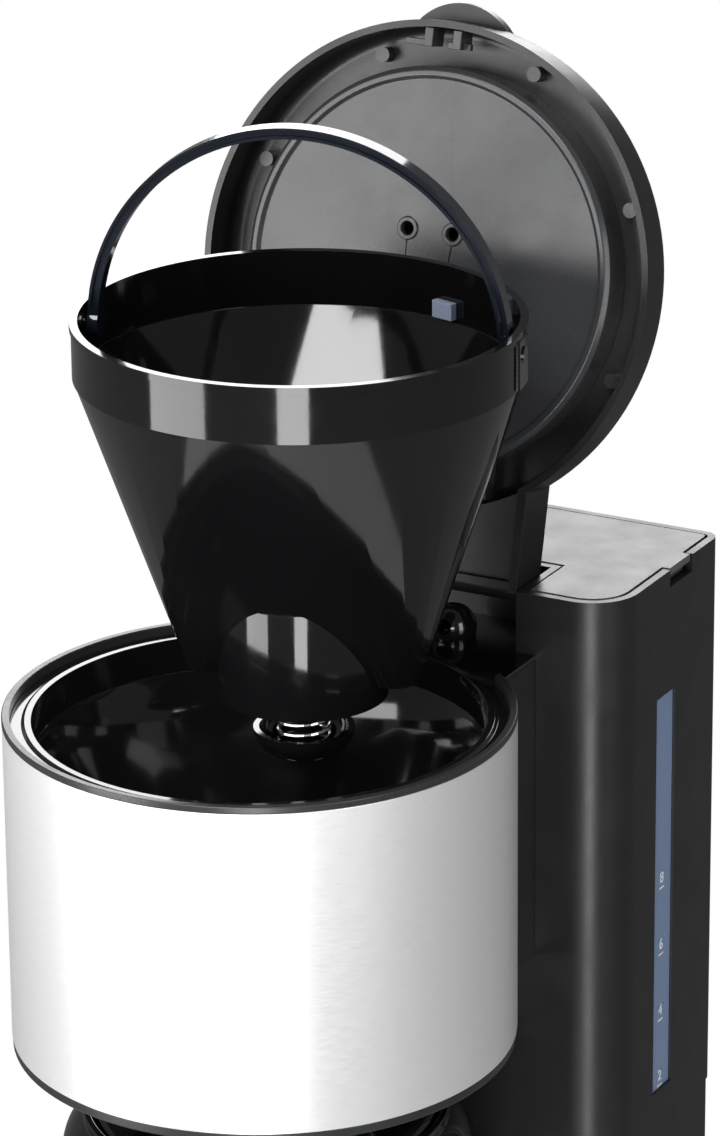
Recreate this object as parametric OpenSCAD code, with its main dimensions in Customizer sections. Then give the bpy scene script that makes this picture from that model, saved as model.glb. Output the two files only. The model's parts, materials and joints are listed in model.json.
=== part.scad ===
// Drip coffee maker with a round steel-banded brew head, a rear water tower
// and a vacuum carafe. It stands on Z = 0 with its front towards -Y.
// The lid is drawn open and the filter basket is drawn lifted out.

/* [Brew head] */
// Outer diameter of the filter basket's collar
basket_d = 136.4; // [120:0.2:160]
// Radial room between the basket's collar and the bowl
basket_room = 1.9; // [1.6:0.1:4]
// Width of the flat deck between the bowl and the trim ring
deck_w = 6.4; // [5:0.1:12]
// Radial width of the black trim ring on the band
ring_w = 2.6; // [2:0.1:5]
// Height of the brushed steel band
band_h = 104; // [80:1:130]
// Height of the band's top edge above the table
band_top = 322; // [300:1:390]
// Sheet thickness of the steel band
band_t = 0.8; // [0.5:0.1:1.5]
// Depth of the black lip under the band
lip_h = 3; // [2:0.5:8]

/* [Filter basket] */
// Height of the basket, rim to the bottom of its skirt
basket_h = 120.5; // [100:0.5:140]
// Height of the basket's straight collar
collar_h = 17.5; // [12:0.5:22]
// Wall thickness of the basket
basket_t = 2; // [1.6:0.1:3]
// Half length of the wedge at the bottom of the basket
wedge_len = 36.8; // [30:0.2:42]
// Half width of the wedge at the bottom of the basket
wedge_wid = 8.2; // [6:0.2:14]
// Diameter of the round skirt under the wedge
skirt_d = 52.4; // [44:0.2:60]
// Height of the rim above the band's top edge when the basket is seated
seat_rise = 5; // [3:0.5:7]
// Angle that the loose basket is turned to about its own axis
basket_turn = 13.5; // [0:0.5:30]
// Sideways, rearward and upward offset of the lifted basket
basket_lift = [10.5, 9, 122];
// Diameter of the bail handle's pivot pins
bail_pin_d = 5; // [3:0.5:6]

/* [Drip valve] */
// Diameter of the valve cup
cup_d = 31.4; // [24:0.2:38]
// Height of the valve cup
cup_h = 11; // [8:0.5:16]
// Gap between the skirt and the hanging cup
cup_drop = 11.4; // [8:0.2:14]
// Diameter of the valve stem
stem_d = 6; // [4:0.5:8]

/* [Lid] */
// Angle at which the open lid rests on its stop
lid_open = 103.5; // [90:0.5:110]
// Width of the lid's neck at the hinge
neck_w = 89.4; // [70:0.2:100]
// Diameter of the lid's hinge pins
hinge_pin_d = 4; // [3:0.5:6]
// Diameter of the inner plate of the lid
plate_d = 128; // [110:1:134]
// Diameter of the two water holes in the inner plate
water_hole_d = 4.4; // [3:0.2:6]

/* [Water tower] */
// Width of the tower
tower_w = 160; // [150:1:200]
// Depth of the tower, front to back
tower_d = 77.4; // [70:0.2:110]
// Gap between the band's rear and the tower's front face
tower_gap = 5.4; // [4:0.2:12]
// Rise of the tower's top above the band's top edge
tower_rise = 19.7; // [17:0.1:24]
// Height of the seam between the lower and upper tower
seam_z = 149; // [120:1:170]
// Radius of the tower's front vertical corners
front_r = 16; // [8:1:24]
// Radius of the tower's rear vertical corners
rear_r = 5; // [3:0.5:10]
// Wall thickness of the plastic housings
wall = 2.5; // [2:0.1:4]
// Width of the water level window
window_w = 13.5; // [8:0.5:20]
// Height of the water level window
window_h = 139.4; // [100:1:150]

/* [Base] */
// Height of the base above the table
base_h = 20; // [16:1:30]
// Overhang of the base beyond the tower and the head
base_out = 2; // [1:0.5:8]
// Height of the rubber feet
foot_h = 3; // [2:0.5:6]
// Diameter of the bore in the cord gland
gland_bore_d = 7.2; // [6:0.2:9]

/* [Carafe] */
// Outer diameter of the carafe
carafe_d = 129; // [110:1:140]
// Wall thickness of the carafe's steel shell
carafe_t = 1; // [0.6:0.1:2]
// Diameter of the carafe's lid
carafe_lid_d = 110; // [90:1:118]
// Reach of the handle in front of the carafe
handle_reach = 46; // [36:1:60]

/* [Hidden] */
$fn = 96;
eps = 0.01;
// Side gap of the lid's neck in its recess
gap = 0.4;
// Gap between the seated basket and the shoulder of the bowl that holds it
seat_gap = 0.45;
// Radial running clearance of a pin in its bore
run = 0.05;

// ---- levels and radii worked out from the sizes above ----
collar_r = basket_d / 2;
bowl_r = collar_r + basket_room;
ring_in = bowl_r + deck_w;
ring_r = ring_in + ring_w;
band_r = ring_r - 0.1;
tower_top = band_top + tower_rise;
tower_front = band_r + tower_gap;
tower_back = tower_front + tower_d;
seat_z = band_top + seat_rise;
skirt_z = seat_z - basket_h;
// The band reaches down to within bowl_show of the skirt at least
bowl_show = 11.5;
band_bottom = min(band_top - band_h, skirt_z + bowl_show);
wedge_z = skirt_z + 6.4;
skirt_r = skirt_d / 2;
cup_rim_z = skirt_z - cup_drop;
valve_tip = cup_rim_z - cup_h;
carafe_top = min(band_bottom - lip_h - 21, valve_tip + 10);
// Front-to-back place of the brew axis, with the whole outline centred on Y = 0
gland_out = 2;
// Thickness of the plate that closes the base
plate_t = 2;
front_reach = carafe_d / 2 + handle_reach;
back_reach = tower_back + base_out + gland_out;
axis_y = (front_reach - back_reach) / 2;

// ---- lid and its recess in the tower ----
lid_gap = 0.34;
ring_rise = 2.26;
lid_r = band_r - 0.5;
lid_low = band_top + ring_rise + lid_gap;
lid_high = tower_top - 0.2;
lid_t = 2.2;
lid_edge_r = 6;
hinge_y = tower_front + 12.6;
hinge_z = tower_top - 4.3;
barrel_r = lid_high - hinge_z;
neck_low = lid_low + 0.4;
neck_ceiling = lid_high - 2.5 - 5.5;
recess_w = neck_w + 2 * gap;
recess_back = hinge_y + 12;
deck_z = band_top;
deck_t = 2;
saddle_w = 104;
saddle_front = 55;
// Hole under the bowl's funnel
funnel_hole_r = wedge_len + 9;
pin_r = hinge_pin_d / 2;

// ---- tower insides ----
tank_gap = 0.6;
tank_t = 2;
tank_floor = seam_z + 6;
tank_top = tower_top - 9;
cover_t = 2.4;
cover_gap = 0.9;
lower_inset = 0.5;
window_y = tower_front + 37.45;
window_z = tower_top - 41.7 - window_h / 2;
switch_y = tower_front + 40;
switch_z = base_h + 52;
// Sideways place of the cord gland and of the terminal block
gland_x = -50;
gland_z = (foot_h + plate_t + base_h - wall) / 2;
gland_body_r = gland_bore_d / 2 + 2.2;

// ---- carafe levels ----
carafe_r = carafe_d / 2;
carafe_floor = base_h + 0.6;
shoulder_z = carafe_top - 26;
carafe_lid_r = carafe_lid_d / 2;
mouth_r = 43;
well_floor = min(valve_tip - 0.6, carafe_top - 4);

// ==================== shared shapes ====================

// Moves a piece from the brew axis to its place in the whole machine
module at_axis() {
    translate([0, axis_y, 0])
        children();
}

// Rectangle with its own radius on the front and the rear corners
module corner_rect(x0, x1, y0, y1, rf, rr) {
    translate([x0 + rf, y0])
        square([x1 - x0 - 2 * rf, y1 - y0]);
    translate([x0, y0 + rf])
        square([x1 - x0, y1 - y0 - rf - rr]);
    translate([x0 + rr, y1 - rr - eps])
        square([x1 - x0 - 2 * rr, rr + eps]);
    for (x = [x0 + rf, x1 - rf])
        translate([x, y0 + rf])
            circle(r = rf);
    for (x = [x0 + rr, x1 - rr])
        translate([x, y1 - rr])
            circle(r = rr);
}

module tower_outline(inset) {
    corner_rect(-tower_w / 2 + inset, tower_w / 2 - inset, tower_front + inset,
        tower_back - inset, max(front_r - inset, 1), max(rear_r - inset, 1));
}

module base_outline(inset) {
    half = max(tower_w / 2, band_r) + base_out - inset;
    circle(r = half);
    corner_rect(-half, half, -eps, tower_back + base_out - inset, 0.01,
        max(rear_r + base_out - inset, 1));
}

// Upright tube between two heights
module pipe(r_out, r_in, z0, z1) {
    translate([0, 0, z0])
        difference() {
            cylinder(r = r_out, h = z1 - z0);
            translate([0, 0, -1])
                cylinder(r = r_in, h = z1 - z0 + 2);
        }
}

// Points of an arc from angle a0 to a1
function arc(cx, cy, r, a0, a1, n = 10) =
    [for (i = [0 : n]) [cx + r * cos(a0 + (a1 - a0) * i / n), cy + r * sin(a0 + (a1 - a0) * i / n)]];

// Swings a closed lid piece up to the open stop
module lid_pose() {
    at_axis()
        translate([0, hinge_y, hinge_z])
            rotate([-lid_open, 0, 0])
                translate([0, -hinge_y, -hinge_z])
                    children();
}

// Lifts a seated basket piece out of the bowl
module basket_pose() {
    at_axis()
        translate(basket_lift)
            rotate([0, 0, basket_turn])
                children();
}

// Screw with a pan head, its head at the origin and its shank along +Z
module screw(shank_r, head_r, len) {
    cylinder(r = head_r, h = 1.6, $fn = 48);
    translate([0, 0, 1.6])
        cylinder(r = shank_r, h = len, $fn = 48);
}

// ==================== base ====================

base_screw_xy = [for (x = [-1, 1], y = [0, 1]) [x * (tower_w / 2 - 16), 20 + y * (tower_back - 34)]];
foot_xy = [[-48, -42], [48, -42], [-62, tower_back - 16], [62, tower_back - 16]];

module base_shell() {
    color("#17181a")
        at_axis()
            difference() {
                translate([0, 0, foot_h])
                    linear_extrude(base_h - foot_h)
                        base_outline(0);
                translate([0, 0, foot_h - 1])
                    linear_extrude(base_h - foot_h - wall + 1)
                        base_outline(wall);
                // seat of the carafe rest
                translate([0, 0, base_h - 1])
                    cylinder(r = carafe_r + 1.5, h = 2);
                // way through for the mains leads
                translate([gland_x - 12, tower_back - 28, base_h - wall - 1])
                    cube([24, 14, wall + 2]);
                // hole of the cord gland
                translate([gland_x, tower_back + base_out + 1, gland_z])
                    rotate([90, 0, 0])
                        cylinder(r = gland_body_r, h = wall + 2);
            }
}

module base_plate() {
    color("#202124")
        at_axis()
            difference() {
                union() {
                    translate([0, 0, foot_h])
                        linear_extrude(plate_t)
                            base_outline(wall);
                    for (p = base_screw_xy)
                        translate([p[0], p[1], foot_h])
                            cylinder(r = 4.5, h = base_h - wall - foot_h);
                }
                for (p = base_screw_xy)
                    translate([p[0], p[1], foot_h - 1])
                        cylinder(r = 3.4, h = 2.6);
                for (p = base_screw_xy)
                    translate([p[0], p[1], foot_h])
                        cylinder(r = 1.6, h = base_h);
            }
}

module base_screws() {
    color("silver")
        at_axis()
            for (p = base_screw_xy)
                translate([p[0], p[1], foot_h])
                    screw(1.6, 3.2, base_h - wall - foot_h - 3);
}

module feet() {
    color("#2b2b2b")
        at_axis()
            for (p = foot_xy)
                translate([p[0], p[1], 0])
                    cylinder(r1 = 7, r2 = 8, h = foot_h);
}

module carafe_rest() {
    color("#101112")
        at_axis()
            difference() {
                translate([0, 0, base_h - 1])
                    cylinder(r = carafe_r + 1.5, h = 1.2);
                for (r = [carafe_r - 34, carafe_r - 20, carafe_r - 6])
                    pipe(r + 0.6, r - 0.6, base_h - 0.2, base_h + 1);
            }
}

module cord_gland() {
    color("#1c1c1c")
        at_axis()
            translate([gland_x, tower_back + base_out, gland_z])
                rotate([90, 0, 0])
                    difference() {
                        union() {
                            translate([0, 0, -gland_out])
                                cylinder(r = gland_body_r + 1.6, h = gland_out);
                            cylinder(r = gland_body_r, h = wall);
                            translate([0, 0, wall])
                                cylinder(r = gland_body_r + 0.4, h = 3);
                        }
                        translate([0, 0, -gland_out - 1])
                            cylinder(r = gland_bore_d / 2, h = gland_out + wall + 5);
                    }
}

// ==================== tower ====================

panel_w = 116;
panel_low = base_h + 12;
panel_high = seam_z - 12;

module lower_tower() {
    color("#1a1b1d")
        at_axis()
            difference() {
                translate([0, 0, base_h])
                    linear_extrude(seam_z - base_h)
                        tower_outline(lower_inset);
                translate([0, 0, base_h - 1])
                    linear_extrude(seam_z - base_h + 2)
                        tower_outline(lower_inset + wall);
                // opening for the rear panel
                translate([-panel_w / 2, tower_back - wall - 2, panel_low])
                    cube([panel_w, wall + 4, panel_high - panel_low]);
                // cut-out for the power switch
                translate([tower_w / 2 - 8, switch_y - 6.5, switch_z - 9.6])
                    cube([16, 13, 19.2]);
            }
}

panel_screw_xz = [for (x = [-1, 1], z = [panel_low + 6, panel_high - 6]) [x * (panel_w / 2 - 6), z]];

module rear_panel() {
    color("#18191b")
        at_axis()
            difference() {
                union() {
                    translate([-panel_w / 2 + 0.2, tower_back - lower_inset - wall, panel_low + 0.2])
                        cube([panel_w - 0.4, wall, panel_high - panel_low - 0.4]);
                    translate([-panel_w / 2 - 4, tower_back - lower_inset - wall - 2, panel_low - 4])
                        cube([panel_w + 8, 2, panel_high - panel_low + 8]);
                }
                for (p = panel_screw_xz)
                    translate([p[0], tower_back + 1, p[1]])
                        rotate([90, 0, 0])
                            cylinder(r = 1.6, h = 12);
                for (p = panel_screw_xz)
                    translate([p[0], tower_back + 1, p[1]])
                        rotate([90, 0, 0])
                            cylinder(r = 3.2, h = 3.1);
                // cooling slots
                for (i = [-4 : 4])
                    translate([i * 9 - 2, tower_back - 8, panel_high - 44])
                        cube([4, 10, 26]);
            }
}

module panel_screws() {
    color("silver")
        at_axis()
            for (p = panel_screw_xz)
                translate([p[0], tower_back - lower_inset, p[1]])
                    rotate([90, 0, 0])
                        screw(1.6, 3.1, 7);
}

module tower_shell() {
    pocket_low = deck_z - deck_t - 0.2;
    color("#1b1c1e")
        at_axis()
            difference() {
                union() {
                    difference() {
                        translate([0, 0, seam_z])
                            linear_extrude(tower_top - 0.2 - seam_z)
                                tower_outline(0);
                        translate([0, 0, seam_z + wall])
                            linear_extrude(tower_top - seam_z)
                                tower_outline(wall);
                        // way through for the tank's outlet and for the riser
                        translate([outlet_xy[0] - 12, tower_front + wall, seam_z - 1])
                            cube([riser_xy[0] - outlet_xy[0] + 24, tower_d - 22, wall + 2]);
                    }
                    // walls of the hinge recess
                    translate([-recess_w / 2 - wall, tower_front, pocket_low - wall])
                        cube([recess_w + 2 * wall, recess_back + wall - tower_front,
                            tower_top - 0.2 - pocket_low + wall]);
                }
                translate([-recess_w / 2, tower_front - 1, pocket_low])
                    cube([recess_w, recess_back + 1 - tower_front, tower_top]);
                // bores for the hinge pins
                translate([-recess_w / 2 - wall - 1, hinge_y, hinge_z])
                    rotate([0, 90, 0])
                        cylinder(r = pin_r, h = recess_w + 2 * wall + 2);
                // hole for the riser tube
                translate([riser_xy[0], riser_xy[1], pocket_low - wall - 1])
                    cylinder(r = 5.4, h = wall + 2);
                // opening for the level window
                translate([tower_w / 2 - wall - 1, window_y - window_w / 2, window_z - window_h / 2])
                    cube([wall + 2, window_w, window_h]);
                // finger notch beside the cover
                translate([tower_w / 2 - wall - 1, window_y + 2, tower_top - 6])
                    cube([wall + 2, 17, 8]);
            }
}

// Water outlet: the ball of the spout, and the riser that feeds it
spout_xy = [20, hinge_y - 7];
riser_xy = [spout_xy[0], tower_front + wall + 8.2];

module hinge_pins() {
    color("silver")
        at_axis()
            for (s = [0, 1])
                mirror([s, 0, 0])
                    translate([recess_w / 2 - 4, hinge_y, hinge_z])
                        rotate([0, 90, 0])
                            cylinder(r = pin_r, h = 4 + wall);
}

module tank_body(inset) {
    difference() {
        translate([0, 0, tank_floor + inset])
            linear_extrude(tank_top - tank_floor)
                tower_outline(wall + tank_gap + inset);
        // room for the hinge recess
        translate([-recess_w / 2 - wall - tank_gap - inset, tower_front - 1,
            deck_z - deck_t - wall - 1 - inset])
            cube([recess_w + 2 * (wall + tank_gap + inset),
                recess_back + wall + tank_gap + inset + 1 - tower_front, tower_top]);
        // room for the riser tube
        translate([riser_xy[0], riser_xy[1], 0])
            cylinder(r = 8 + inset, h = tower_top);
    }
}

outlet_xy = [-52, tower_front + 46];

module water_tank() {
    color("#cfdbe8", 0.5)
        at_axis()
            difference() {
                union() {
                    difference() {
                        tank_body(0);
                        tank_body(tank_t);
                    }
                    translate([outlet_xy[0], outlet_xy[1], tank_floor - 4])
                        cylinder(r = 8, h = 5);
                }
                translate([outlet_xy[0], outlet_xy[1], tank_floor - 5])
                    cylinder(r = 5, h = 12);
            }
}

module level_window() {
    color("#86a0c8", 0.7)
        at_axis()
            difference() {
                translate([tower_w / 2 - wall, window_y - window_w / 2 + 0.1,
                    window_z - window_h / 2 + 0.1])
                    cube([wall - 0.8, window_w - 0.2, window_h - 0.2]);
                for (i = [0 : 3])
                    translate([tower_w / 2 - 1, window_y - 2, window_z - window_h / 2 + 6 + i * 23.6])
                        cube([1, 5, 0.6]);
            }
}

module outlet_seal() {
    color("#b8433a")
        at_axis()
            translate([outlet_xy[0], outlet_xy[1], 0]) {
                pipe(5, 3.4, tank_floor - 4, tank_floor + 3);
                pipe(7, 3.4, tank_floor - 7, tank_floor - 4);
            }
}

module check_valve() {
    color("#e4e2da")
        at_axis()
            translate([outlet_xy[0], outlet_xy[1], 0])
                union() {
                    pipe(3.4, 2.2, tank_floor - 22, tank_floor);
                    pipe(6.5, 2.2, tank_floor - 22, tank_floor - 10);
                }
}

heater_z = base_h + 46;
heater_y = tower_front + 38;

module cold_hose() {
    color("#d9d4c8")
        at_axis()
            translate([outlet_xy[0], outlet_xy[1], 0])
                pipe(6, 4, heater_z + 10, tank_floor - 22);
}

module flow_heater() {
    ends = [outlet_xy[0], riser_xy[0]];
    color("#b9bcc0")
        at_axis()
            difference() {
                union() {
                    // die-cast block with the heating rod
                    translate([ends[0] + 12, heater_y - 12, heater_z - 14])
                        cube([ends[1] - ends[0] - 24, 24, 22]);
                    // water tube with its two upturned ends
                    translate([ends[0], outlet_xy[1], heater_z])
                        rotate([0, 90, 0])
                            cylinder(r = 6, h = ends[1] - ends[0]);
                    for (x = ends)
                        translate([x, outlet_xy[1], heater_z]) {
                            sphere(r = 6);
                            cylinder(r = 6, h = 10);
                            cylinder(r = 3.9, h = 18);
                        }
                }
                translate([ends[0], outlet_xy[1], heater_z])
                    rotate([0, 90, 0])
                        cylinder(r = 3, h = ends[1] - ends[0]);
                for (x = ends)
                    translate([x, outlet_xy[1], heater_z])
                        cylinder(r = 3, h = 30);
            }
}

module heater_bracket() {
    color("#9fa3a6")
        at_axis()
            for (x = [-30, -4])
                translate([x - 5, heater_y - 20, 0])
                    difference() {
                        union() {
                            translate([0, 0, base_h])
                                cube([10, 40, 1.5]);
                            translate([0, 6.5, base_h])
                                cube([10, 1.5, heater_z + 8 - base_h]);
                        }
                        translate([5, 34, base_h - 1])
                            cylinder(r = 2, h = 4);
                    }
}

module thermostat() {
    color("#c8b27a")
        at_axis()
            translate([(outlet_xy[0] + riser_xy[0]) / 2, heater_y, heater_z - 14])
                rotate([180, 0, 0]) {
                    cylinder(r = 8, h = 5);
                    translate([0, 0, 5])
                        cylinder(r = 6, h = 6);
                }
}

module thermal_fuses() {
    color("#e9e6dd")
        at_axis()
            for (x = [-28, -4])
                translate([x, heater_y + 15, heater_z - 10])
                    rotate([0, 90, 0])
                        translate([0, 0, -8])
                            cylinder(r = 3, h = 16);
}

module riser_tube() {
    bend_z = heater_z + 52;
    top_z = deck_z - deck_t - 8;
    hot_y = outlet_xy[1];
    color("#d6d0c2")
        at_axis()
            translate([riser_xy[0], 0, 0])
                difference() {
                    union() {
                        translate([0, hot_y, heater_z + 10])
                            cylinder(r = 6, h = bend_z - heater_z - 10);
                        translate([0, riser_xy[1], bend_z])
                            cylinder(r = 6, h = top_z - bend_z);
                        translate([0, hot_y, bend_z])
                            rotate([90, 0, 0])
                                cylinder(r = 6, h = hot_y - riser_xy[1]);
                        for (y = [hot_y, riser_xy[1]])
                            translate([0, y, bend_z])
                                sphere(r = 6);
                    }
                    translate([0, hot_y, heater_z])
                        cylinder(r = 4, h = bend_z - heater_z);
                    translate([0, riser_xy[1], bend_z])
                        cylinder(r = 4, h = top_z);
                    translate([0, hot_y, bend_z])
                        rotate([90, 0, 0])
                            cylinder(r = 4, h = hot_y - riser_xy[1]);
                }
}

module water_spout() {
    ball_r = 7.5;
    ball_z = deck_z + 1.9;
    color("#1e1f21")
        at_axis()
            difference() {
                union() {
                    intersection() {
                        translate([spout_xy[0], spout_xy[1], ball_z])
                            sphere(r = ball_r);
                        translate([spout_xy[0] - 20, spout_xy[1] - 20, deck_z - 0.8])
                            cube(40);
                    }
                    translate([riser_xy[0], riser_xy[1], deck_z - deck_t - 8])
                        cylinder(r = 5, h = 11);
                    translate([riser_xy[0], riser_xy[1], deck_z - deck_t - 16])
                        cylinder(r = 4, h = 10);
                }
                translate([riser_xy[0], riser_xy[1], deck_z - 40])
                    cylinder(r = 2.6, h = 42);
                translate([riser_xy[0], riser_xy[1] + 1, deck_z])
                    rotate([75, 0, 0])
                        cylinder(r = 2.6, h = 30);
            }
}

module switch_body() {
    color("#121314")
        at_axis()
            translate([tower_w / 2 - lower_inset, switch_y, switch_z])
                difference() {
                    union() {
                        translate([0, -8, -11])
                            cube([1.2, 16, 22]);
                        translate([-16, -6.4, -9.5])
                            cube([16, 12.8, 19]);
                        for (z = [-5, 5])
                            translate([-22, -2, z - 0.4])
                                cube([7, 4, 0.8]);
                    }
                    translate([-8, -5.4, -8.6])
                        cube([10, 10.8, 17.2]);
                    translate([-4, 8, 0])
                        rotate([90, 0, 0])
                            cylinder(r = 1 + run, h = 16);
                }
}

rocker_tilt = 6;

module power_rocker() {
    color("#26282b")
        at_axis()
            translate([tower_w / 2 - lower_inset - 4, switch_y, switch_z])
                rotate([0, -rocker_tilt, 0])
                    rotate([90, 0, 0])
                        translate([0, 0, -5]) {
                            linear_extrude(10)
                                polygon([[-1.5, -4], [1, -7.6], [5.2, -7.6], [4.2, 0], [5.2, 7.6],
                                    [1, 7.6], [-1.5, 4]]);
                            translate([0, 0, -1.2])
                                cylinder(r = 1, h = 12.4);
                        }
}

module terminal_block() {
    color("#e6e3d9")
        at_axis()
            translate([gland_x, tower_back - 40, base_h])
                difference() {
                    translate([-12, -8, 0])
                        cube([24, 16, 12]);
                    for (x = [-6, 6], y = [-4, 4])
                        translate([x, y, 6])
                            cylinder(r = 2, h = 10);
                }
}

// Insulated lead through square corners
module lead(points) {
    sheath = 1.3;
    for (i = [0 : len(points) - 2]) {
        step = points[i + 1] - points[i];
        reach = norm(step);
        translate(points[i])
            rotate([0, acos(step[2] / reach), atan2(step[1], step[0])])
                cylinder(r = sheath, h = reach);
    }
    for (i = [1 : len(points) - 2])
        translate(points[i])
            sphere(r = sheath);
}

module wiring() {
    y0 = tower_back - 44;
    y1 = heater_y + 22;
    block_x = outlet_xy[0] + 12;
    color("#7a3b2a")
        at_axis() {
            // heater leads
            lead([[gland_x + 6, y0, base_h + 6], [gland_x + 6, y0, base_h + 22],
                [block_x + 8, y0, base_h + 22], [block_x + 8, y0, heater_z - 14]]);
            // switch leads
            for (x = [-6, 6])
                lead([[gland_x + x, y0 + 8, base_h + 6], [gland_x + x, y0 + 8, base_h + 16],
                    [gland_x + x, y1, base_h + 16], [gland_x + x, y1, base_h + 28 - x],
                    [tower_w / 2 - 30, y1, base_h + 28 - x]]);
        }
}

// ==================== brew head ====================

// Clears the width of the arm that joins the head to the tower
module saddle_cut() {
    translate([-saddle_w / 2, 0, 0])
        cube([saddle_w, tower_back, tower_top]);
}

module steel_band() {
    color("#e3e4e6")
        at_axis()
            difference() {
                pipe(band_r, band_r - band_t, band_bottom, band_top);
                saddle_cut();
            }
}

module head_shell() {
    inner = band_r - band_t;
    color("#161718")
        at_axis()
            union() {
                difference() {
                    pipe(inner, inner - wall, band_bottom, deck_z - deck_t);
                    saddle_cut();
                }
                // arm that joins the head to the tower
                difference() {
                    translate([-saddle_w / 2, 40, band_bottom])
                        cube([saddle_w, tower_front - 40, deck_z - deck_t - band_bottom]);
                    translate([-saddle_w / 2 + wall, 30, band_bottom + wall])
                        cube([saddle_w - 2 * wall, tower_front - wall - 30, band_top]);
                    translate([0, 0, band_bottom - 1])
                        cylinder(r = inner - wall, h = band_top);
                }
            }
}

module top_ring() {
    color("#2a2b2d")
        at_axis()
            difference() {
                union() {
                    pipe(ring_r, ring_in + 0.1, band_top, band_top + ring_rise);
                    pipe(band_r - band_t, ring_in + 0.1, band_top - deck_t, band_top);
                }
                saddle_cut();
            }
}

module lower_ring() {
    color("#141516")
        at_axis()
            difference() {
                pipe(band_r - 0.2, funnel_hole_r, band_bottom - lip_h, band_bottom);
                translate([-saddle_w / 2, saddle_front, 0])
                    cube([saddle_w, tower_back, tower_top]);
            }
}

module brew_bowl() {
    t = 2;
    low = wedge_z;
    low_r = wedge_len + seat_gap;
    shoulder = seat_z - collar_h;
    shoulder_r = collar_r + seat_gap;
    color("#0f1011")
        at_axis()
            difference() {
                union() {
                    rotate_extrude($fn = 128)
                        polygon([[bowl_r, deck_z], [bowl_r, shoulder + 0.9], [shoulder_r, shoulder - 0.6],
                            [low_r, low], [low_r + t, low], [bowl_r + t, shoulder - 0.6],
                            [bowl_r + t, deck_z - deck_t], [ring_in, deck_z - deck_t],
                            [ring_in, deck_z - 0.8], [bowl_r + 3, deck_z - 0.8], [bowl_r + 2, deck_z]]);
                    difference() {
                        union() {
                            translate([-saddle_w / 2, 40, deck_z - deck_t])
                                cube([saddle_w, tower_front - 0.2 - 40, deck_t - 0.8]);
                            translate([-recess_w / 2 + 0.2, 40, deck_z - deck_t])
                                cube([recess_w - 0.4, recess_back - 0.2 - 40, deck_t - 0.8]);
                        }
                        translate([0, 0, deck_z - 10])
                            cylinder(r = bowl_r + 1, h = 20);
                    }
                }
                translate([riser_xy[0], riser_xy[1], deck_z - 10])
                    cylinder(r = 5.2, h = 20);
            }
}

// ==================== lid ====================

module lid_shell() {
    r = lid_edge_r;
    tab_r = 20.8;
    // centre of the tab's arc, inwards from the lid's rim
    tab_in = 15.2;
    color("#1d1e20")
        lid_pose()
            difference() {
                union() {
                    rotate_extrude($fn = 128)
                        polygon(concat(
                            [[0, lid_high], [0, lid_high - lid_t]],
                            arc(lid_r - r, lid_high - r, r - lid_t, 90, 0),
                            [[lid_r - lid_t, lid_low], [lid_r, lid_low]],
                            arc(lid_r - r, lid_high - r, r, 0, 90)));
                    // lift tab
                    intersection() {
                        translate([0, tab_in - lid_r, lid_high - 6])
                            cylinder(r = tab_r, h = 4);
                        difference() {
                            translate([-50, -200, 0])
                                cube([100, 200, 1000]);
                            cylinder(r = lid_r - lid_t, h = 1000);
                        }
                    }
                    // neck to the hinge
                    difference() {
                        union() {
                            translate([-neck_w / 2, 40, neck_low])
                                cube([neck_w, hinge_y - 40, lid_high - neck_low]);
                            translate([-neck_w / 2, hinge_y, hinge_z])
                                rotate([0, 90, 0])
                                    cylinder(r = barrel_r, h = neck_w);
                        }
                        cylinder(r = lid_r - lid_t, h = 1000);
                    }
                }
                // hollow of the neck, open to the underside
                translate([-neck_w / 2 + 3, lid_r - 20, neck_low - 1])
                    cube([neck_w - 6, hinge_y - lid_r + 20 - 2.5, neck_ceiling - neck_low + 1]);
                translate([-neck_w / 2 + 3, lid_r - 2, neck_low - 1])
                    cube([neck_w - 6, hinge_y - lid_r + 12, neck_ceiling - 1.6 - neck_low]);
                // hinge bores
                translate([-neck_w / 2 - 1, hinge_y, hinge_z])
                    rotate([0, 90, 0])
                        cylinder(r = pin_r + run, h = neck_w + 2);
            }
}

// Room between the inner plate and the lid's rim
plate_room = 14.5;
plate_r = min(plate_d / 2, lid_r - plate_room);
plate_z = lid_low + 3.4;
hole_xy = [[-8, -12], [8, -12]];

module lid_plate() {
    color("#2c2d30")
        lid_pose()
            difference() {
                union() {
                    // dished plate with a raised bead round its edge
                    rotate_extrude($fn = 128)
                        polygon([[0, plate_z], [plate_r - 4, plate_z], [plate_r - 3, plate_z - 1],
                            [plate_r - 1.4, plate_z - 1], [plate_r, plate_z + 0.4], [plate_r, lid_high - lid_t],
                            [plate_r - 2, lid_high - lid_t], [plate_r - 2, plate_z + 2],
                            [0, plate_z + 2]]);
                    for (p = hole_xy)
                        translate([p[0], p[1], plate_z - 0.6])
                            cylinder(r = water_hole_d / 2 + 1.4, h = 1.6);
                }
                for (p = hole_xy)
                    translate([p[0], p[1], plate_z - 2])
                        cylinder(r = water_hole_d / 2, h = 6);
                // way in for the water channel
                translate([spout_xy[0] - 8.4, plate_r - 12, plate_z + 2])
                    cube([16.8, 15, 6.6]);
            }
}

module lid_channel() {
    y0 = -20;
    x1 = spout_xy[0] + 8;
    y1 = sqrt(pow(lid_r - lid_t - 1, 2) - pow(x1, 2));
    color("#34363a")
        lid_pose()
            difference() {
                union() {
                    translate([spout_xy[0] - 8, -6, plate_z + 2])
                        cube([16, y1 + 6, 6]);
                    translate([-14, y0, plate_z + 2])
                        cube([x1 + 14, 16, 6]);
                }
                translate([spout_xy[0] - 6.5, -8, plate_z + 1])
                    cube([13, y1 + 10, 5.5]);
                translate([-12.5, y0 + 1.5, plate_z + 1])
                    cube([x1 + 11, 13, 5.5]);
            }
}

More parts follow.
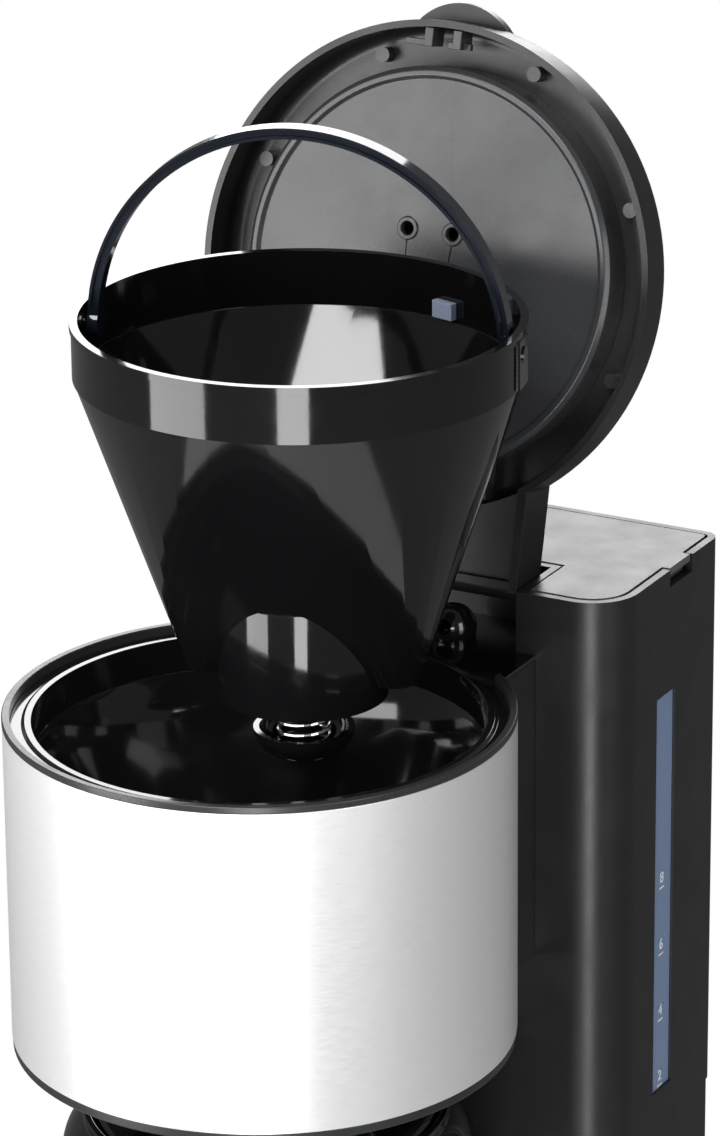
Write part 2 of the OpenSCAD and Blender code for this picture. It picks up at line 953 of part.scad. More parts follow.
module lid_latch() {
    color("#3a3c40")
        lid_pose()
            for (x = [-8, 2])
                translate([x, -lid_r + lid_t + 0.5, lid_low + 1]) {
                    cube([3, 6, 8]);
                    translate([-4 + x * 0.5, 4, 3])
                        cube([8, 2, 2]);
                }
}

lid_screw_a = [for (i = [3 : 8]) 22.5 + i * 45];

module lid_screws() {
    r = (plate_r + lid_r - lid_t) / 2;
    color("#303236")
        lid_pose()
            for (a = lid_screw_a)
                rotate([0, 0, a])
                    translate([r, 0, lid_high - lid_t - 4.5])
                        cylinder(r = 2.4, h = 4.5, $fn = 48);
}

// ==================== tank cover ====================

module tank_cover() {
    inset = wall + cover_gap;
    color("#232427")
        at_axis()
            difference() {
                union() {
                    translate([0, 0, tower_top - cover_t])
                        linear_extrude(cover_t)
                            tower_outline(inset);
                    // rim that drops into the tower and rests on the tank
                    difference() {
                        translate([0, 0, tank_top + 0.1])
                            linear_extrude(tower_top - tank_top - 0.1)
                                tower_outline(inset + 0.6);
                        translate([0, 0, tank_top - 1])
                            linear_extrude(tower_top - tank_top + 1)
                                tower_outline(inset + 2.4);
                    }
                    // finger tab over the notch
                    translate([tower_w / 2 - inset - 2, window_y + 3, tower_top - cover_t])
                        cube([inset + 1.4, 15, cover_t]);
                }
                translate([-recess_w / 2 - wall - cover_gap, 0, tower_top - 20])
                    cube([recess_w + 2 * wall + 2 * cover_gap, recess_back + wall + cover_gap, 40]);
            }
}

// ==================== filter basket ====================

module stadium(half_len, half_wid, h) {
    linear_extrude(h) {
        for (s = [-1, 1])
            translate([s * (half_len - half_wid), 0])
                circle(r = half_wid, $fn = 32);
        translate([-half_len + half_wid, -half_wid])
            square([2 * (half_len - half_wid), 2 * half_wid]);
    }
}

bail_axis_z = seat_z - 7;
cone_step = 0.3;
bail_r = collar_r - basket_t - 0.7;

// The cone's top edge stands back from the collar by cone_step on both sides.
module wedge(inset, top_z, low_z) {
    hull() {
        translate([0, 0, top_z])
            cylinder(r = collar_r - inset - cone_step, h = 0.02, $fn = 96);
        translate([0, 0, low_z])
            stadium(wedge_len - inset, max(wedge_wid - inset, 2), 0.02);
    }
}

module basket() {
    collar_z = seat_z - collar_h;
    color("#0d0e0f")
        basket_pose()
            difference() {
                union() {
                    translate([0, 0, collar_z])
                        cylinder(r = collar_r, h = collar_h);
                    translate([0, 0, seat_z - 2.2])
                        cylinder(r = collar_r + 0.5, h = 2.2);
                    wedge(0, collar_z, wedge_z);
                    // round skirt round the outlet
                    difference() {
                        translate([0, 0, skirt_z])
                            cylinder(r = skirt_r, h = 34);
                        translate([0, 0, skirt_z - 1])
                            cylinder(r = skirt_r - basket_t, h = wedge_z - skirt_z + 1);
                    }
                    // plates round the pivots
                    for (s = [-1, 1])
                        translate([s > 0 ? collar_r - 1 : -collar_r - 0.9, -5, seat_z - 17])
                            cube([1.9, 10, 15]);
                }
                translate([0, 0, collar_z])
                    cylinder(r = collar_r - basket_t, h = collar_h + 1);
                wedge(basket_t, collar_z + 0.02, wedge_z + 2.5);
                // pivot bores
                translate([-collar_r - 5, 0, bail_axis_z])
                    rotate([0, 90, 0])
                        cylinder(r = bail_pin_d / 2 + run, h = basket_d + 10);
                // guide of the valve stem and the outlet holes round it
                translate([0, 0, skirt_z - 1])
                    cylinder(r = stem_d / 2 + run, h = 20);
                for (a = [0 : 90 : 270])
                    rotate([0, 0, a + 45])
                        translate([stem_d / 2 + 1.5, 0, skirt_z - 1])
                            cylinder(r = 1.1, h = 20);
            }
}

clip_a = 62;

module paper_clip() {
    color("#9aa4b4")
        basket_pose()
            rotate([0, 0, clip_a])
                translate([collar_r - basket_t - 2.8, -4, seat_z - 16.5])
                    cube([2.6, 8, 5.5]);
}

module bail_handle() {
    w = 6;
    t = 3.4;
    end_x = bail_r - t;
    pin_end = collar_r + 1.4;
    color("#22252c")
        basket_pose()
            translate([0, 0, bail_axis_z]) {
                rotate([90, 0, 0])
                    difference() {
                        linear_extrude(w, center = true)
                            difference() {
                                circle(r = bail_r, $fn = 128);
                                circle(r = bail_r - t, $fn = 128);
                                translate([-100, -200])
                                    square([200, 200]);
                            }
                        // grooves that give the arch an I section
                        for (s = [-1, 1])
                            translate([0, 0, s * w / 2 - 0.9])
                                linear_extrude(1.8)
                                    difference() {
                                        circle(r = bail_r - 0.9, $fn = 128);
                                        circle(r = bail_r - t + 0.9, $fn = 128);
                                        translate([-100, -200])
                                            square([200, 206]);
                                    }
                    }
                for (s = [0, 1])
                    mirror([s, 0, 0])
                        translate([end_x, 0, 0])
                            rotate([0, 90, 0]) {
                                cylinder(r = 4.4, h = t - 0.1);
                                cylinder(r = bail_pin_d / 2, h = pin_end - end_x);
                            }
            }
}

// ==================== drip valve ====================

module valve_cup() {
    r = cup_d / 2;
    t = 1.8;
    stem_top = wedge_z + 2.5 + 0.1;
    color("#191a1c")
        basket_pose() {
            // domed cup
            rotate_extrude()
                polygon(concat(
                    [for (i = [0 : 12]) [r * sin(90 * i / 12), cup_rim_z - cup_h * cos(90 * i / 12)]],
                    [for (i = [0 : 12]) [(r - t) * sin(90 - 90 * i / 12),
                        cup_rim_z - (cup_h - t) * cos(90 - 90 * i / 12)]]));
            translate([0, 0, cup_rim_z - cup_h + t - 0.5])
                cylinder(r = stem_d / 2, h = stem_top - cup_rim_z + cup_h - t + 0.5);
        }
}

module valve_seal() {
    low = wedge_z + 2.5 + 0.1;
    color("#8b8f94")
        basket_pose()
            translate([0, 0, low])
                cylinder(r1 = wedge_wid - basket_t - 0.4, r2 = stem_d / 2 + 1, h = 3);
}

// Ring i of a helix of wire: n points round the wire
function coil_ring(i, per, r, wire, z0, pitch, n) =
    [for (k = [0 : n - 1])
        let (a = 360 * i / per, b = 360 * k / n)
            [(r + wire * cos(b)) * cos(a), (r + wire * cos(b)) * sin(a),
                z0 + pitch * i / per + wire * sin(b)]];

module coil(r, wire, z0, z1, turns) {
    n = 8;
    per = 24;
    m = turns * per;
    pts = [for (i = [0 : m]) each coil_ring(i, per, r, wire, z0, (z1 - z0) / turns, n)];
    sides = [for (i = [0 : m - 1], k = [0 : n - 1])
        [i * n + k, i * n + (k + 1) % n, (i + 1) * n + (k + 1) % n, (i + 1) * n + k]];
    polyhedron(pts, concat(sides, [[for (k = [n - 1 : -1 : 0]) k]], [[for (k = [0 : n - 1]) m * n + k]]));
}

module valve_spring() {
    wire = 0.7;
    coil_r = 8;
    inner_r = cup_d / 2 - 1.8;
    // the coil stands on the inside of the cup's dome
    rest_z = cup_rim_z - (cup_h - 1.8) * sqrt(1 - pow((coil_r + wire) / inner_r, 2)) + wire + 0.2;
    color("#b9bcc2")
        basket_pose()
            coil(coil_r, wire, rest_z, wedge_z - wire - 0.3, 7);
}

// ==================== carafe ====================

module carafe_shell() {
    color("#d9dadc")
        at_axis()
            pipe(carafe_r, carafe_r - carafe_t, carafe_floor + 12, shoulder_z);
}

module carafe_base() {
    color("#151617")
        at_axis()
            difference() {
                union() {
                    translate([0, 0, carafe_floor])
                        cylinder(r1 = carafe_r - 3, r2 = carafe_r, h = 3);
                    translate([0, 0, carafe_floor + 3])
                        cylinder(r = carafe_r, h = 9);
                    translate([0, 0, carafe_floor + 12])
                        cylinder(r = carafe_r - carafe_t, h = 4);
                }
                translate([0, 0, carafe_floor + 3])
                    cylinder(r = carafe_r - 4, h = 20);
            }
}

module carafe_liner() {
    r = carafe_r - 6;
    t = 1.2;
    low = carafe_floor + 8;
    color("#c9ccd0")
        at_axis()
            rotate_extrude()
                polygon(concat(
                    [[0, low]],
                    arc(r - 14, low + 14, 14, -90, 0),
                    arc(r - 12, shoulder_z - 8, 12, 0, 80),
                    [[mouth_r, shoulder_z + 6], [mouth_r - t, shoulder_z + 6]],
                    arc(r - 12, shoulder_z - 8, 12 - t, 80, 0),
                    arc(r - 14, low + 14, 14 - t, 0, -90),
                    [[0, low + t]]));
}

module carafe_collar() {
    top_r = carafe_lid_r + 3;
    color("#17181a")
        at_axis()
            rotate_extrude()
                polygon(concat(
                    [[carafe_r, shoulder_z], [carafe_r, shoulder_z + 8]],
                    arc(carafe_r - 14, shoulder_z + 8, 14, 0, 60),
                    [[top_r, carafe_top - 2], [top_r - 2.4, carafe_top - 2],
                    [top_r - 2.4, shoulder_z + 12], [mouth_r, shoulder_z + 9],
                    [mouth_r, shoulder_z + 6], [mouth_r + 3, shoulder_z + 6],
                    [carafe_r - 3, shoulder_z + 6], [carafe_r - 3, shoulder_z]]));
}

// Lower edge of the handle, and the places of its screw
handle_low = shoulder_z - 92;
handle_t = 13;
handle_screw_z = handle_low + handle_t / 2;
handle_screw_in = 28.4;

module carafe_handle() {
    w = 24;
    t = handle_t;
    r_out = 18;
    r_in = 8;
    y_out = -carafe_r - handle_reach;
    z_hi = carafe_top - 3;
    z_lo = handle_low;
    color("#18191b")
        at_axis()
            difference() {
                translate([-w / 2, 0, 0])
                    rotate([90, 0, 90])
                        linear_extrude(w)
                            difference() {
                                union() {
                                    for (z = [z_lo + r_out, z_hi - r_out])
                                        translate([y_out + r_out, z])
                                            circle(r = r_out);
                                    translate([y_out, z_lo + r_out])
                                        square([30, z_hi - z_lo - 2 * r_out]);
                                    translate([y_out + r_out, z_lo])
                                        square([handle_reach - 15, z_hi - z_lo]);
                                }
                                for (z = [z_lo + t + r_in, z_hi - t - r_in])
                                    translate([y_out + t + r_in, z])
                                        circle(r = r_in);
                                translate([y_out + t, z_lo + t + r_in])
                                    square([20, z_hi - z_lo - 2 * (t + r_in)]);
                                translate([y_out + t + r_in, z_lo + t])
                                    square([handle_reach, z_hi - z_lo - 2 * t]);
                            }
                // fits round the carafe
                cylinder(r = carafe_r, h = shoulder_z + 8);
                translate([0, 0, shoulder_z + 7.9])
                    cylinder(r = carafe_r + 0.2, h = 60);
                // screw bore and its counterbore from the front
                translate([0, y_out - 1, handle_screw_z])
                    rotate([-90, 0, 0]) {
                        cylinder(r = 1.6, h = 80);
                        cylinder(r = 3.3, h = handle_screw_in + 2.6);
                    }
            }
}

module handle_screws() {
    color("silver")
        at_axis()
            translate([0, -carafe_r - handle_reach + handle_screw_in, handle_screw_z])
                rotate([-90, 0, 0])
                    screw(1.6, 3.2, handle_reach - 32);
}

lever_axis = [-carafe_lid_r + 16, carafe_top - 3.6];

module carafe_lid() {
    r = carafe_lid_r;
    well_top_r = min(cup_d / 2 + 14, r - 20);
    color("#101112")
        at_axis()
            difference() {
                union() {
                    rotate_extrude()
                        polygon(concat(
                            [[0, well_floor - 3], [0, well_floor], [cup_d / 2 + 1.5, well_floor],
                            [well_top_r, carafe_top - 1]],
                            arc(r - 5, carafe_top - 6, 5, 90, 0),
                            [[r, carafe_top - 8], [mouth_r - 2.6, carafe_top - 12],
                            [mouth_r - 2.6, shoulder_z - 2], [mouth_r - 5, shoulder_z - 2],
                            [mouth_r - 5, well_floor - 3]]));
                }
                // slot for the pour lever
                translate([-7.4, -r - 1, carafe_top - 8])
                    cube([14.8, 24, 12]);
                translate([-20, lever_axis[0], lever_axis[1]])
                    rotate([0, 90, 0])
                        cylinder(r = 1.5, h = 40);
            }
}

module lid_gasket() {
    color("#b04a40")
        at_axis()
            pipe(mouth_r - 1.6, mouth_r - 2.6, shoulder_z, shoulder_z + 3);
}

module lever_pin() {
    color("silver")
        at_axis()
            translate([-11, lever_axis[0], lever_axis[1]])
                rotate([0, 90, 0])
                    cylinder(r = 1.5, h = 22);
}

module pour_lever() {
    w = 14;
    y0 = -carafe_lid_r - 6;
    color("#1b1d1f")
        at_axis()
            difference() {
                union() {
                    // plate with a raised thumb end
                    translate([-w / 2, 0, 0])
                        rotate([90, 0, 90])
                            linear_extrude(w)
                                polygon([[y0, carafe_top + 3], [-carafe_lid_r + 3, carafe_top + 0.6],
                                    [lever_axis[0] - 4, carafe_top - 1.6], [lever_axis[0] + 4, carafe_top - 4],
                                    [lever_axis[0] + 5.4, carafe_top - 4], [lever_axis[0] + 5.4, carafe_top],
                                    [lever_axis[0], carafe_top + 2], [y0, carafe_top + 5.6]]);
                    translate([-w / 2, lever_axis[0], lever_axis[1]])
                        rotate([0, 90, 0])
                            cylinder(r = 3.2, h = w);
                }
                translate([-w, lever_axis[0], lever_axis[1]])
                    rotate([0, 90, 0])
                        cylinder(r = 1.5 + run, h = 2 * w);
            }
}

base_shell();
base_plate();
feet();
base_screws();
carafe_rest();
lower_tower();
rear_panel();
panel_screws();
tower_shell();
water_tank();
level_window();
outlet_seal();
check_valve();
cold_hose();
flow_heater();
heater_bracket();
thermostat();
thermal_fuses();
riser_tube();
water_spout();
switch_body();
terminal_block();
wiring();
cord_gland();
head_shell();
steel_band();
top_ring();
lower_ring();
brew_bowl();
hinge_pins();
tank_cover();
lid_shell();
lid_plate();
lid_channel();
lid_latch();
lid_screws();
basket();
paper_clip();
bail_handle();
valve_cup();
valve_seal();
valve_spring();
carafe_shell();
carafe_liner();
carafe_base();
carafe_collar();
carafe_handle();
handle_screws();
carafe_lid();
lid_gasket();
pour_lever();
lever_pin();
power_rocker();
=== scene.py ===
"""Looks of the drip coffee maker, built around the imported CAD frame."""
import json
import math

import bmesh
import bpy
from mathutils import Matrix, Vector


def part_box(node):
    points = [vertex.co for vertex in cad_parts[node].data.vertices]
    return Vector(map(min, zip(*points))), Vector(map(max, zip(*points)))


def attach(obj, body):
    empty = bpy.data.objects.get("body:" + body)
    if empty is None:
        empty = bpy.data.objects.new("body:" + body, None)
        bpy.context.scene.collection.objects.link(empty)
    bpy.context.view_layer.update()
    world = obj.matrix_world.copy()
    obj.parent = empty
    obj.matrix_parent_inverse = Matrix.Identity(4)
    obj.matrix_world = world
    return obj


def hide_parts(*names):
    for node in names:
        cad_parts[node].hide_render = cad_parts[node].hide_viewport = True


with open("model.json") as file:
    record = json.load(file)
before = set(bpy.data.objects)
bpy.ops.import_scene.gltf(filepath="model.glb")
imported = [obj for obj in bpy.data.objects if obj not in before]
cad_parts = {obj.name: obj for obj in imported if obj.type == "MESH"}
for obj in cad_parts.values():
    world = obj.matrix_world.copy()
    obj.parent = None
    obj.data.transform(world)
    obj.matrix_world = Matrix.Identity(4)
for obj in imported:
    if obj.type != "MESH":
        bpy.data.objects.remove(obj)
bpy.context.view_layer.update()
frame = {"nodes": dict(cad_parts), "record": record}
nodes = frame["nodes"]
record = frame["record"]
body_of = {n: b for b, ns in record["behaviour"]["bodies"].items() for n in ns}
slot_of = {s["node"]: s["material_slot"] for s in record["subparts"]}

# Lengths are in metres, except where a comment says millimetres.
MM = 0.001


def linked(name, data):
    obj = bpy.data.objects.new(name, data)
    bpy.context.collection.objects.link(obj)
    return obj


# ---------------------------------------------------------------- frame measures
band_low, band_high = (Vector(v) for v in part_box("steel_band"))
BAND_TOP = band_high.z
BAND_R = (band_high.x - band_low.x) / 2
AXIS_Y = band_low.y + BAND_R


# ---------------------------------------------------------------- camera
# The view is from the front right and above, through a long lens.
AZIMUTH = math.radians(28.61)
ELEVATION = math.radians(20.37)
ROLL = math.radians(-0.54)
DISTANCE = 1.630
# The camera aims this far to the right of the brew head's top centre, and above it.
AIM_RIGHT = 0.0311
AIM_UP = 0.0474
SENSOR_MM = 36
LENS_MM = 170.3662
CLIP_RANGE = (0.1, 20)


def make_camera():
    right = Vector((math.cos(AZIMUTH), math.sin(AZIMUTH), 0))
    level = math.cos(ELEVATION)
    back = Vector((math.sin(AZIMUTH) * level, -math.cos(AZIMUTH) * level, math.sin(ELEVATION)))
    up = back.cross(right)
    target = Vector((0, AXIS_Y, BAND_TOP)) + right * AIM_RIGHT + Vector((0, 0, AIM_UP))
    rolled = right * math.cos(ROLL) + up * math.sin(ROLL)
    rolled_up = up * math.cos(ROLL) - right * math.sin(ROLL)
    data = bpy.data.cameras.new("camera")
    data.sensor_fit = "VERTICAL"
    data.sensor_height = SENSOR_MM
    data.lens = LENS_MM
    data.clip_start, data.clip_end = CLIP_RANGE
    obj = linked("camera", data)
    rotation = Matrix((rolled, rolled_up, back)).transposed()
    obj.matrix_world = Matrix.Translation(target + back * DISTANCE) @ rotation.to_4x4()
    bpy.context.scene.camera = obj


# ---------------------------------------------------------------- materials
COAT_ROUGHNESS = 0.04


def new_material(name, color, rough, metallic=0.0, coat=0.0):
    """A material with one finish all over; the callers below add its unevenness."""
    mat = bpy.data.materials.new(name)
    mat.use_nodes = True
    shader = mat.node_tree.nodes["Principled BSDF"]
    shader.inputs["Base Color"].default_value = (*color, 1)
    shader.inputs["Roughness"].default_value = rough
    shader.inputs["Metallic"].default_value = metallic
    shader.inputs["Coat Weight"].default_value = coat
    shader.inputs["Coat Roughness"].default_value = COAT_ROUGHNESS
    return mat


def graph(mat):
    tree = mat.node_tree
    return tree, tree.nodes["Principled BSDF"]


def object_coords(tree, scale=(1, 1, 1)):
    coords = tree.nodes.new("ShaderNodeTexCoord")
    mapping = tree.nodes.new("ShaderNodeMapping")
    mapping.inputs["Scale"].default_value = scale
    tree.links.new(coords.outputs["Object"], mapping.inputs["Vector"])
    return mapping.outputs["Vector"]


def noise(tree, vector, scale, detail, rough=0.5):
    node = tree.nodes.new("ShaderNodeTexNoise")
    node.inputs["Scale"].default_value = scale
    node.inputs["Detail"].default_value = detail
    node.inputs["Roughness"].default_value = rough
    tree.links.new(vector, node.inputs["Vector"])
    return node.outputs["Fac"]


# Nearly all of a noise texture's values lie between these two.
NOISE_LOW = 0.3
NOISE_HIGH = 0.7


def remap(tree, value, low, high):
    node = tree.nodes.new("ShaderNodeMapRange")
    node.inputs["From Min"].default_value = NOISE_LOW
    node.inputs["From Max"].default_value = NOISE_HIGH
    node.inputs["To Min"].default_value = low
    node.inputs["To Max"].default_value = high
    tree.links.new(value, node.inputs["Value"])
    return node.outputs["Result"]


def tint(tree, value, dark, light):
    ramp = tree.nodes.new("ShaderNodeValToRGB")
    ramp.color_ramp.elements[0].position = NOISE_LOW
    ramp.color_ramp.elements[0].color = (*dark, 1)
    ramp.color_ramp.elements[1].position = NOISE_HIGH
    ramp.color_ramp.elements[1].color = (*light, 1)
    tree.links.new(value, ramp.inputs["Fac"])
    return ramp.outputs["Color"]


def bump(tree, shader, value, distance, strength=1.0):
    node = tree.nodes.new("ShaderNodeBump")
    node.inputs["Distance"].default_value = distance
    node.inputs["Strength"].default_value = strength
    tree.links.new(value, node.inputs["Height"])
    tree.links.new(node.outputs["Normal"], shader.inputs["Normal"])


# Noise scales, per metre.
DRIFT_SCALE = 18
HANDLING_SCALE = 60
PANE_SCALE = 70
BRUSH_SCALE = 240
# Factors on a material's colour and roughness, and the strength of the brushing's relief.
DARKER = 0.86
LIGHTER = 1.16
BRUSH_DARKER = 0.93
BRUSH_SMOOTHER = 0.75
BRUSH_ROUGHER = 1.3
BRUSH_STRENGTH = 0.5
ACROSS_BRUSHING = (1, 1, 30)
CLEAR_IOR = 1.49
CLEAR_SPREAD = 0.03


def moulded(name, color, rough, spread, grain_scale, grain_depth, coat=0.0):
    """Moulded plastic: slow colour drift, uneven gloss and the fine grain of the tool's surface."""
    mat = new_material(name, color, rough, coat=coat)
    tree, shader = graph(mat)
    vector = object_coords(tree)
    slow = noise(tree, vector, DRIFT_SCALE, 4)
    dark = [c * DARKER for c in color]
    light = [min(1, c * LIGHTER) for c in color]
    tree.links.new(tint(tree, slow, dark, light), shader.inputs["Base Color"])
    handled = noise(tree, vector, HANDLING_SCALE, 5, 0.6)
    tree.links.new(remap(tree, handled, rough - spread, rough + spread), shader.inputs["Roughness"])
    bump(tree, shader, noise(tree, vector, grain_scale, 2, 0.5), grain_depth)
    return mat


def brushed(name, color, rough, metallic, depth):
    """Steel with fine brush lines round the axis: the noise is squeezed across the brushing."""
    mat = new_material(name, color, rough, metallic=metallic)
    tree, shader = graph(mat)
    vector = object_coords(tree, ACROSS_BRUSHING)
    lines = noise(tree, vector, BRUSH_SCALE, 6, 0.7)
    dark = [c * BRUSH_DARKER for c in color]
    tree.links.new(tint(tree, lines, dark, color), shader.inputs["Base Color"])
    gloss = remap(tree, lines, rough * BRUSH_SMOOTHER, rough * BRUSH_ROUGHER)
    tree.links.new(gloss, shader.inputs["Roughness"])
    bump(tree, shader, lines, depth, BRUSH_STRENGTH)
    return mat


def clear_material(name, color, rough, transmission):
    """Clear or tinted moulded plastic with a slightly uneven gloss."""
    mat = new_material(name, color, rough)
    tree, shader = graph(mat)
    shader.inputs["Transmission Weight"].default_value = transmission
    shader.inputs["IOR"].default_value = CLEAR_IOR
    handled = noise(tree, object_coords(tree), PANE_SCALE, 4, 0.6)
    gloss = remap(tree, handled, max(0, rough - CLEAR_SPREAD), rough + CLEAR_SPREAD)
    tree.links.new(gloss, shader.inputs["Roughness"])
    return mat


# Each maker takes a name, a colour and a roughness; moulded() then takes the spread of the
# roughness, the grain's noise scale and its depth in metres.
MATERIALS = {
    "black_satin": moulded("satin_black_plastic", (0.011, 0.011, 0.012), 0.36, 0.05, 1500, 0.00003),
    "black_gloss": moulded("gloss_black_plastic", (0.006, 0.006, 0.0065), 0.09, 0.02, 60, 0.00001,
                           coat=0.3),
    "dark_satin": moulded("dark_satin_plastic", (0.024, 0.025, 0.027), 0.30, 0.05, 1500, 0.00003),
    # The band scatters light widely, so part of its surface is treated as matt.
    "steel_band": brushed("band_steel", (0.93, 0.93, 0.935), 0.36, 0.62, 0.00001),
    "steel_shell": brushed("jug_steel", (0.72, 0.72, 0.74), 0.22, 1.0, 0.00001),
    "metal_pin": moulded("plated_steel", (0.62, 0.62, 0.64), 0.2, 0.06, 900, 0.00001),
    "heater_alloy": moulded("cast_alloy", (0.5, 0.5, 0.52), 0.45, 0.08, 500, 0.0001),
    "brass_cap": moulded("plated_cap", (0.6, 0.5, 0.3), 0.3, 0.06, 900, 0.00001),
    "silicone": moulded("silicone_rubber", (0.62, 0.55, 0.46), 0.5, 0.06, 900, 0.00002),
    "rubber_foot": moulded("soft_rubber", (0.02, 0.02, 0.02), 0.75, 0.06, 700, 0.00005),
    "white_plastic": moulded("white_plastic", (0.8, 0.78, 0.72), 0.4, 0.06, 900, 0.00002),
    "lead_sheath": moulded("lead_sheath", (0.25, 0.08, 0.05), 0.45, 0.06, 900, 0.00002),
}
for key in ("metal_pin", "heater_alloy", "brass_cap"):
    graph(MATERIALS[key])[1].inputs["Metallic"].default_value = 1.0

MATERIALS["window_blue"] = clear_material("tinted_window", (0.20, 0.28, 0.45), 0.16, 0.1)
MATERIALS["tank_clear"] = clear_material("clear_tank", (0.75, 0.8, 0.85), 0.1, 0.8)
print_white = moulded("printed_white", (0.75, 0.76, 0.77), 0.5, 0.05, 900, 0.00001)
clip_blue = moulded("clip_plastic", (0.26, 0.31, 0.42), 0.3, 0.05, 900, 0.00001)

# Nodes whose looks differ from their slot's default.
OWN_MATERIAL = {
    "basket": moulded("gloss_basket", (0.004, 0.004, 0.0045), 0.09, 0.03, 400, 0.000008, coat=0.3),
    "bail_handle": moulded("gloss_bail", (0.006, 0.008, 0.013), 0.10, 0.03, 300, 0.000008,
                           coat=0.3),
    "lid_plate": moulded("lid_inner_plate", (0.030, 0.031, 0.033), 0.27, 0.04, 1200, 0.00002),
    "tank_cover": moulded("tank_cover_satin", (0.085, 0.086, 0.088), 0.36, 0.05, 1500, 0.00003),
    "paper_clip": clip_blue,
}


def material_for(node):
    return OWN_MATERIAL.get(node, MATERIALS[slot_of[node]])


# ---------------------------------------------------------------- moulded edges
# These nodes get copies with small rounded edges; the rest keep the CAD surface.
# Widths in millimetres.
EDGE_WIDTH = {
    "tower_shell": 1.2, "tank_cover": 1.0, "lid_shell": 0.9, "lid_plate": 0.5, "lid_channel": 0.3,
    "lid_latch": 0.25, "basket": 0.45, "bail_handle": 0.35, "brew_bowl": 0.5, "head_shell": 0.5,
    "top_ring": 0.45, "lower_ring": 0.4, "steel_band": 0.25, "lower_tower": 0.7, "rear_panel": 0.5,
    "base_shell": 0.9, "carafe_collar": 0.6, "carafe_handle": 1.2, "carafe_lid": 0.6,
    "carafe_shell": 0.2, "pour_lever": 0.35, "power_rocker": 0.35, "level_window": 0.3,
    "valve_cup": 0.25, "paper_clip": 0.3, "water_spout": 0.3, "cord_gland": 0.3, "carafe_rest": 0.4,
    "base_plate": 0.3, "feet": 0.5,
}
EDGE_SEGMENTS = 3
# Vertices closer than WELD become one, edges sharper than SHARP are rounded, and triangles
# flatter to each other than FLAT are joined.
WELD = 0.00001
SHARP = math.radians(28)
FLAT = math.radians(0.5)


def rounded_copy(node, width):
    """Stands in for a CAD node: its mesh, smoothed, with its sharp edges rounded."""
    data = nodes[node].data.copy()
    data.name = node + "_moulded"
    obj = linked(node + "_moulded", data)
    mesh = bmesh.new()
    mesh.from_mesh(data)
    bmesh.ops.remove_doubles(mesh, verts=mesh.verts, dist=WELD)
    bmesh.ops.join_triangles(mesh, faces=mesh.faces, angle_face_threshold=FLAT,
                             angle_shape_threshold=math.pi)
    mesh.to_mesh(data)
    mesh.free()
    for name in ("custom_normal", "sharp_face", "sharp_edge"):
        if name in data.attributes:
            data.attributes.remove(data.attributes[name])
    for polygon in data.polygons:
        polygon.use_smooth = True
    data.set_sharp_from_angle(angle=SHARP)
    bevel = obj.modifiers.new("edges", "BEVEL")
    bevel.width = width * MM
    bevel.segments = EDGE_SEGMENTS
    bevel.limit_method = "ANGLE"
    bevel.angle_limit = SHARP
    bevel.harden_normals = True
    bevel.use_clamp_overlap = True
    data.materials.clear()
    data.materials.append(material_for(node))
    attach(obj, body_of[node])
    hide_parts(node)


for node, obj in nodes.items():
    if node in EDGE_WIDTH:
        rounded_copy(node, EDGE_WIDTH[node])
    else:
        obj.data.materials.clear()
        obj.data.materials.append(material_for(node))


# ---------------------------------------------------------------- printing on the window
WINDOW_LOW, WINDOW_HIGH = (Vector(v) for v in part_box("level_window"))
MIDDLE_Y = (WINDOW_LOW.y + WINDOW_HIGH.y) / 2
# Millimetres: height of a figure, drop of the top one below the band's top edge, and pitch.
NUMERAL_HEIGHT = 3.9
NUMERAL_TOP_DROP = 86.2
NUMERAL_PITCH = 23.6
# Millimetres: drop of a tick below its figure, and half its length.
TICK_DROP = 3.4
TICK_HALF_LENGTH = 1.6
# Font size over the height of a figure.
FONT_RATIO = 1.38
TICK_HEIGHT = 0.0006
PRINT_DEPTH = 0.0002
# Turns text that lies in XY to stand upright and face +X.
FACING_X = Matrix(((0, 0, 1), (1, 0, 0), (0, 1, 0))).to_4x4()


def print_on_window(obj, data):
    data.materials.append(print_white)
    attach(obj, body_of["level_window"])


def numeral(text, z):
    curve = bpy.data.curves.new("level_" + text, "FONT")
    curve.body = text
    curve.size = NUMERAL_HEIGHT * MM * FONT_RATIO
    curve.align_x = "CENTER"
    curve.align_y = "CENTER"
    curve.extrude = PRINT_DEPTH / 2
    obj = linked("level_" + text, curve)
    obj.matrix_world = Matrix.Translation((WINDOW_HIGH.x, MIDDLE_Y, z)) @ FACING_X
    print_on_window(obj, curve)


def tick(name, z):
    mesh = bmesh.new()
    bmesh.ops.create_cube(mesh, size=1)
    data = bpy.data.meshes.new(name)
    mesh.to_mesh(data)
    mesh.free()
    obj = linked(name, data)
    stretch = Matrix.Diagonal((PRINT_DEPTH, 2 * TICK_HALF_LENGTH * MM, TICK_HEIGHT, 1))
    obj.matrix_world = Matrix.Translation((WINDOW_HIGH.x, MIDDLE_Y, z)) @ stretch
    print_on_window(obj, data)


for step, text in enumerate(("8", "6", "4", "2")):
    height = BAND_TOP - (NUMERAL_TOP_DROP + NUMERAL_PITCH * step) * MM
    numeral(text, height)
    tick("tick_" + text, height - TICK_DROP * MM)


# ---------------------------------------------------------------- stage and light
FLOOR_R = 0.28
FLOOR_SEGMENTS = 96
FLOOR_DROP = 0.0002
GREY_FILL = 0.16
MIDDLE = (0, 0, 0.28)
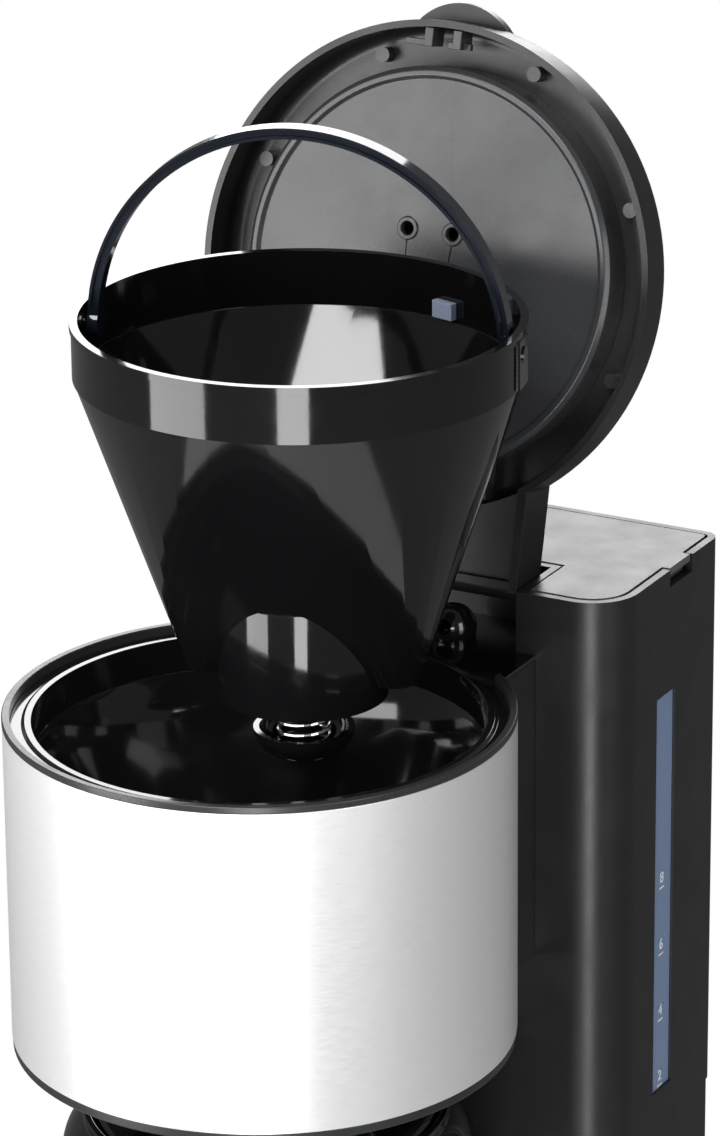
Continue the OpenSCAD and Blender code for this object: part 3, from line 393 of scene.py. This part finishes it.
# Name, place, aim, width, height and watts of each softbox.
SOFTBOXES = (
    ("front_left", (-1.0, -1.5, 0.25), MIDDLE, 1.0, 1.5, 26),
    ("front_right", (0.75, -1.55, 0.0), (0, 0, 0.4), 0.45, 1.4, 16),
    ("right", (1.7, -0.7, 0.6), MIDDLE, 0.6, 1.2, 10),
    ("top", (0.0, -0.9, 1.5), MIDDLE, 0.7, 0.6, 16),
    ("back_left", (-0.9, 1.9, 0.95), (0, 0.1, 0.33), 1.5, 0.9, 20),
    ("bowl_glint_left", (-0.13, -0.24, 0.43), (0.0, 0.03, 0.29), 0.10, 0.05, 0.22),
    ("bowl_glint_right", (0.10, -0.27, 0.43), (0.02, 0.03, 0.29), 0.07, 0.05, 0.16),
)


def make_floor():
    """A round white table top, small enough that the backdrop behind it stays plain white."""
    mesh = bmesh.new()
    bmesh.ops.create_circle(mesh, cap_ends=True, segments=FLOOR_SEGMENTS, radius=FLOOR_R)
    data = bpy.data.meshes.new("floor")
    mesh.to_mesh(data)
    mesh.free()
    obj = linked("floor", data)
    obj.location.z = -FLOOR_DROP
    data.materials.append(new_material("floor_white", (0.8, 0.8, 0.8), 0.6))


def softbox(name, place, aim, width, height, watts):
    """A soft light that the camera does not see."""
    data = bpy.data.lights.new(name, "AREA")
    data.shape = "RECTANGLE"
    data.size = width
    data.size_y = height
    data.energy = watts
    obj = linked(name, data)
    direction = Vector(aim) - Vector(place)
    turn = direction.to_track_quat("-Z", "Y").to_matrix().to_4x4()
    obj.matrix_world = Matrix.Translation(place) @ turn
    obj.visible_camera = False


def make_world():
    """White to the camera, a mild grey to everything else, so that black gloss stays black."""
    world = bpy.data.worlds.new("world")
    world.use_nodes = True
    tree = world.node_tree
    tree.nodes.clear()
    output = tree.nodes.new("ShaderNodeOutputWorld")
    mix = tree.nodes.new("ShaderNodeMixShader")
    seen = tree.nodes.new("ShaderNodeBackground")
    lit = tree.nodes.new("ShaderNodeBackground")
    path = tree.nodes.new("ShaderNodeLightPath")
    seen.inputs["Color"].default_value = (1, 1, 1, 1)
    seen.inputs["Strength"].default_value = 1.0
    lit.inputs["Color"].default_value = (1, 1, 1, 1)
    lit.inputs["Strength"].default_value = GREY_FILL
    tree.links.new(path.outputs["Is Camera Ray"], mix.inputs["Fac"])
    tree.links.new(lit.outputs["Background"], mix.inputs[1])
    tree.links.new(seen.outputs["Background"], mix.inputs[2])
    tree.links.new(mix.outputs["Shader"], output.inputs["Surface"])
    bpy.context.scene.world = world


make_floor()
make_world()
for box in SOFTBOXES:
    softbox(*box)
bpy.context.scene.view_settings.view_transform = "Standard"
bpy.context.scene.view_settings.look = "None"
make_camera()
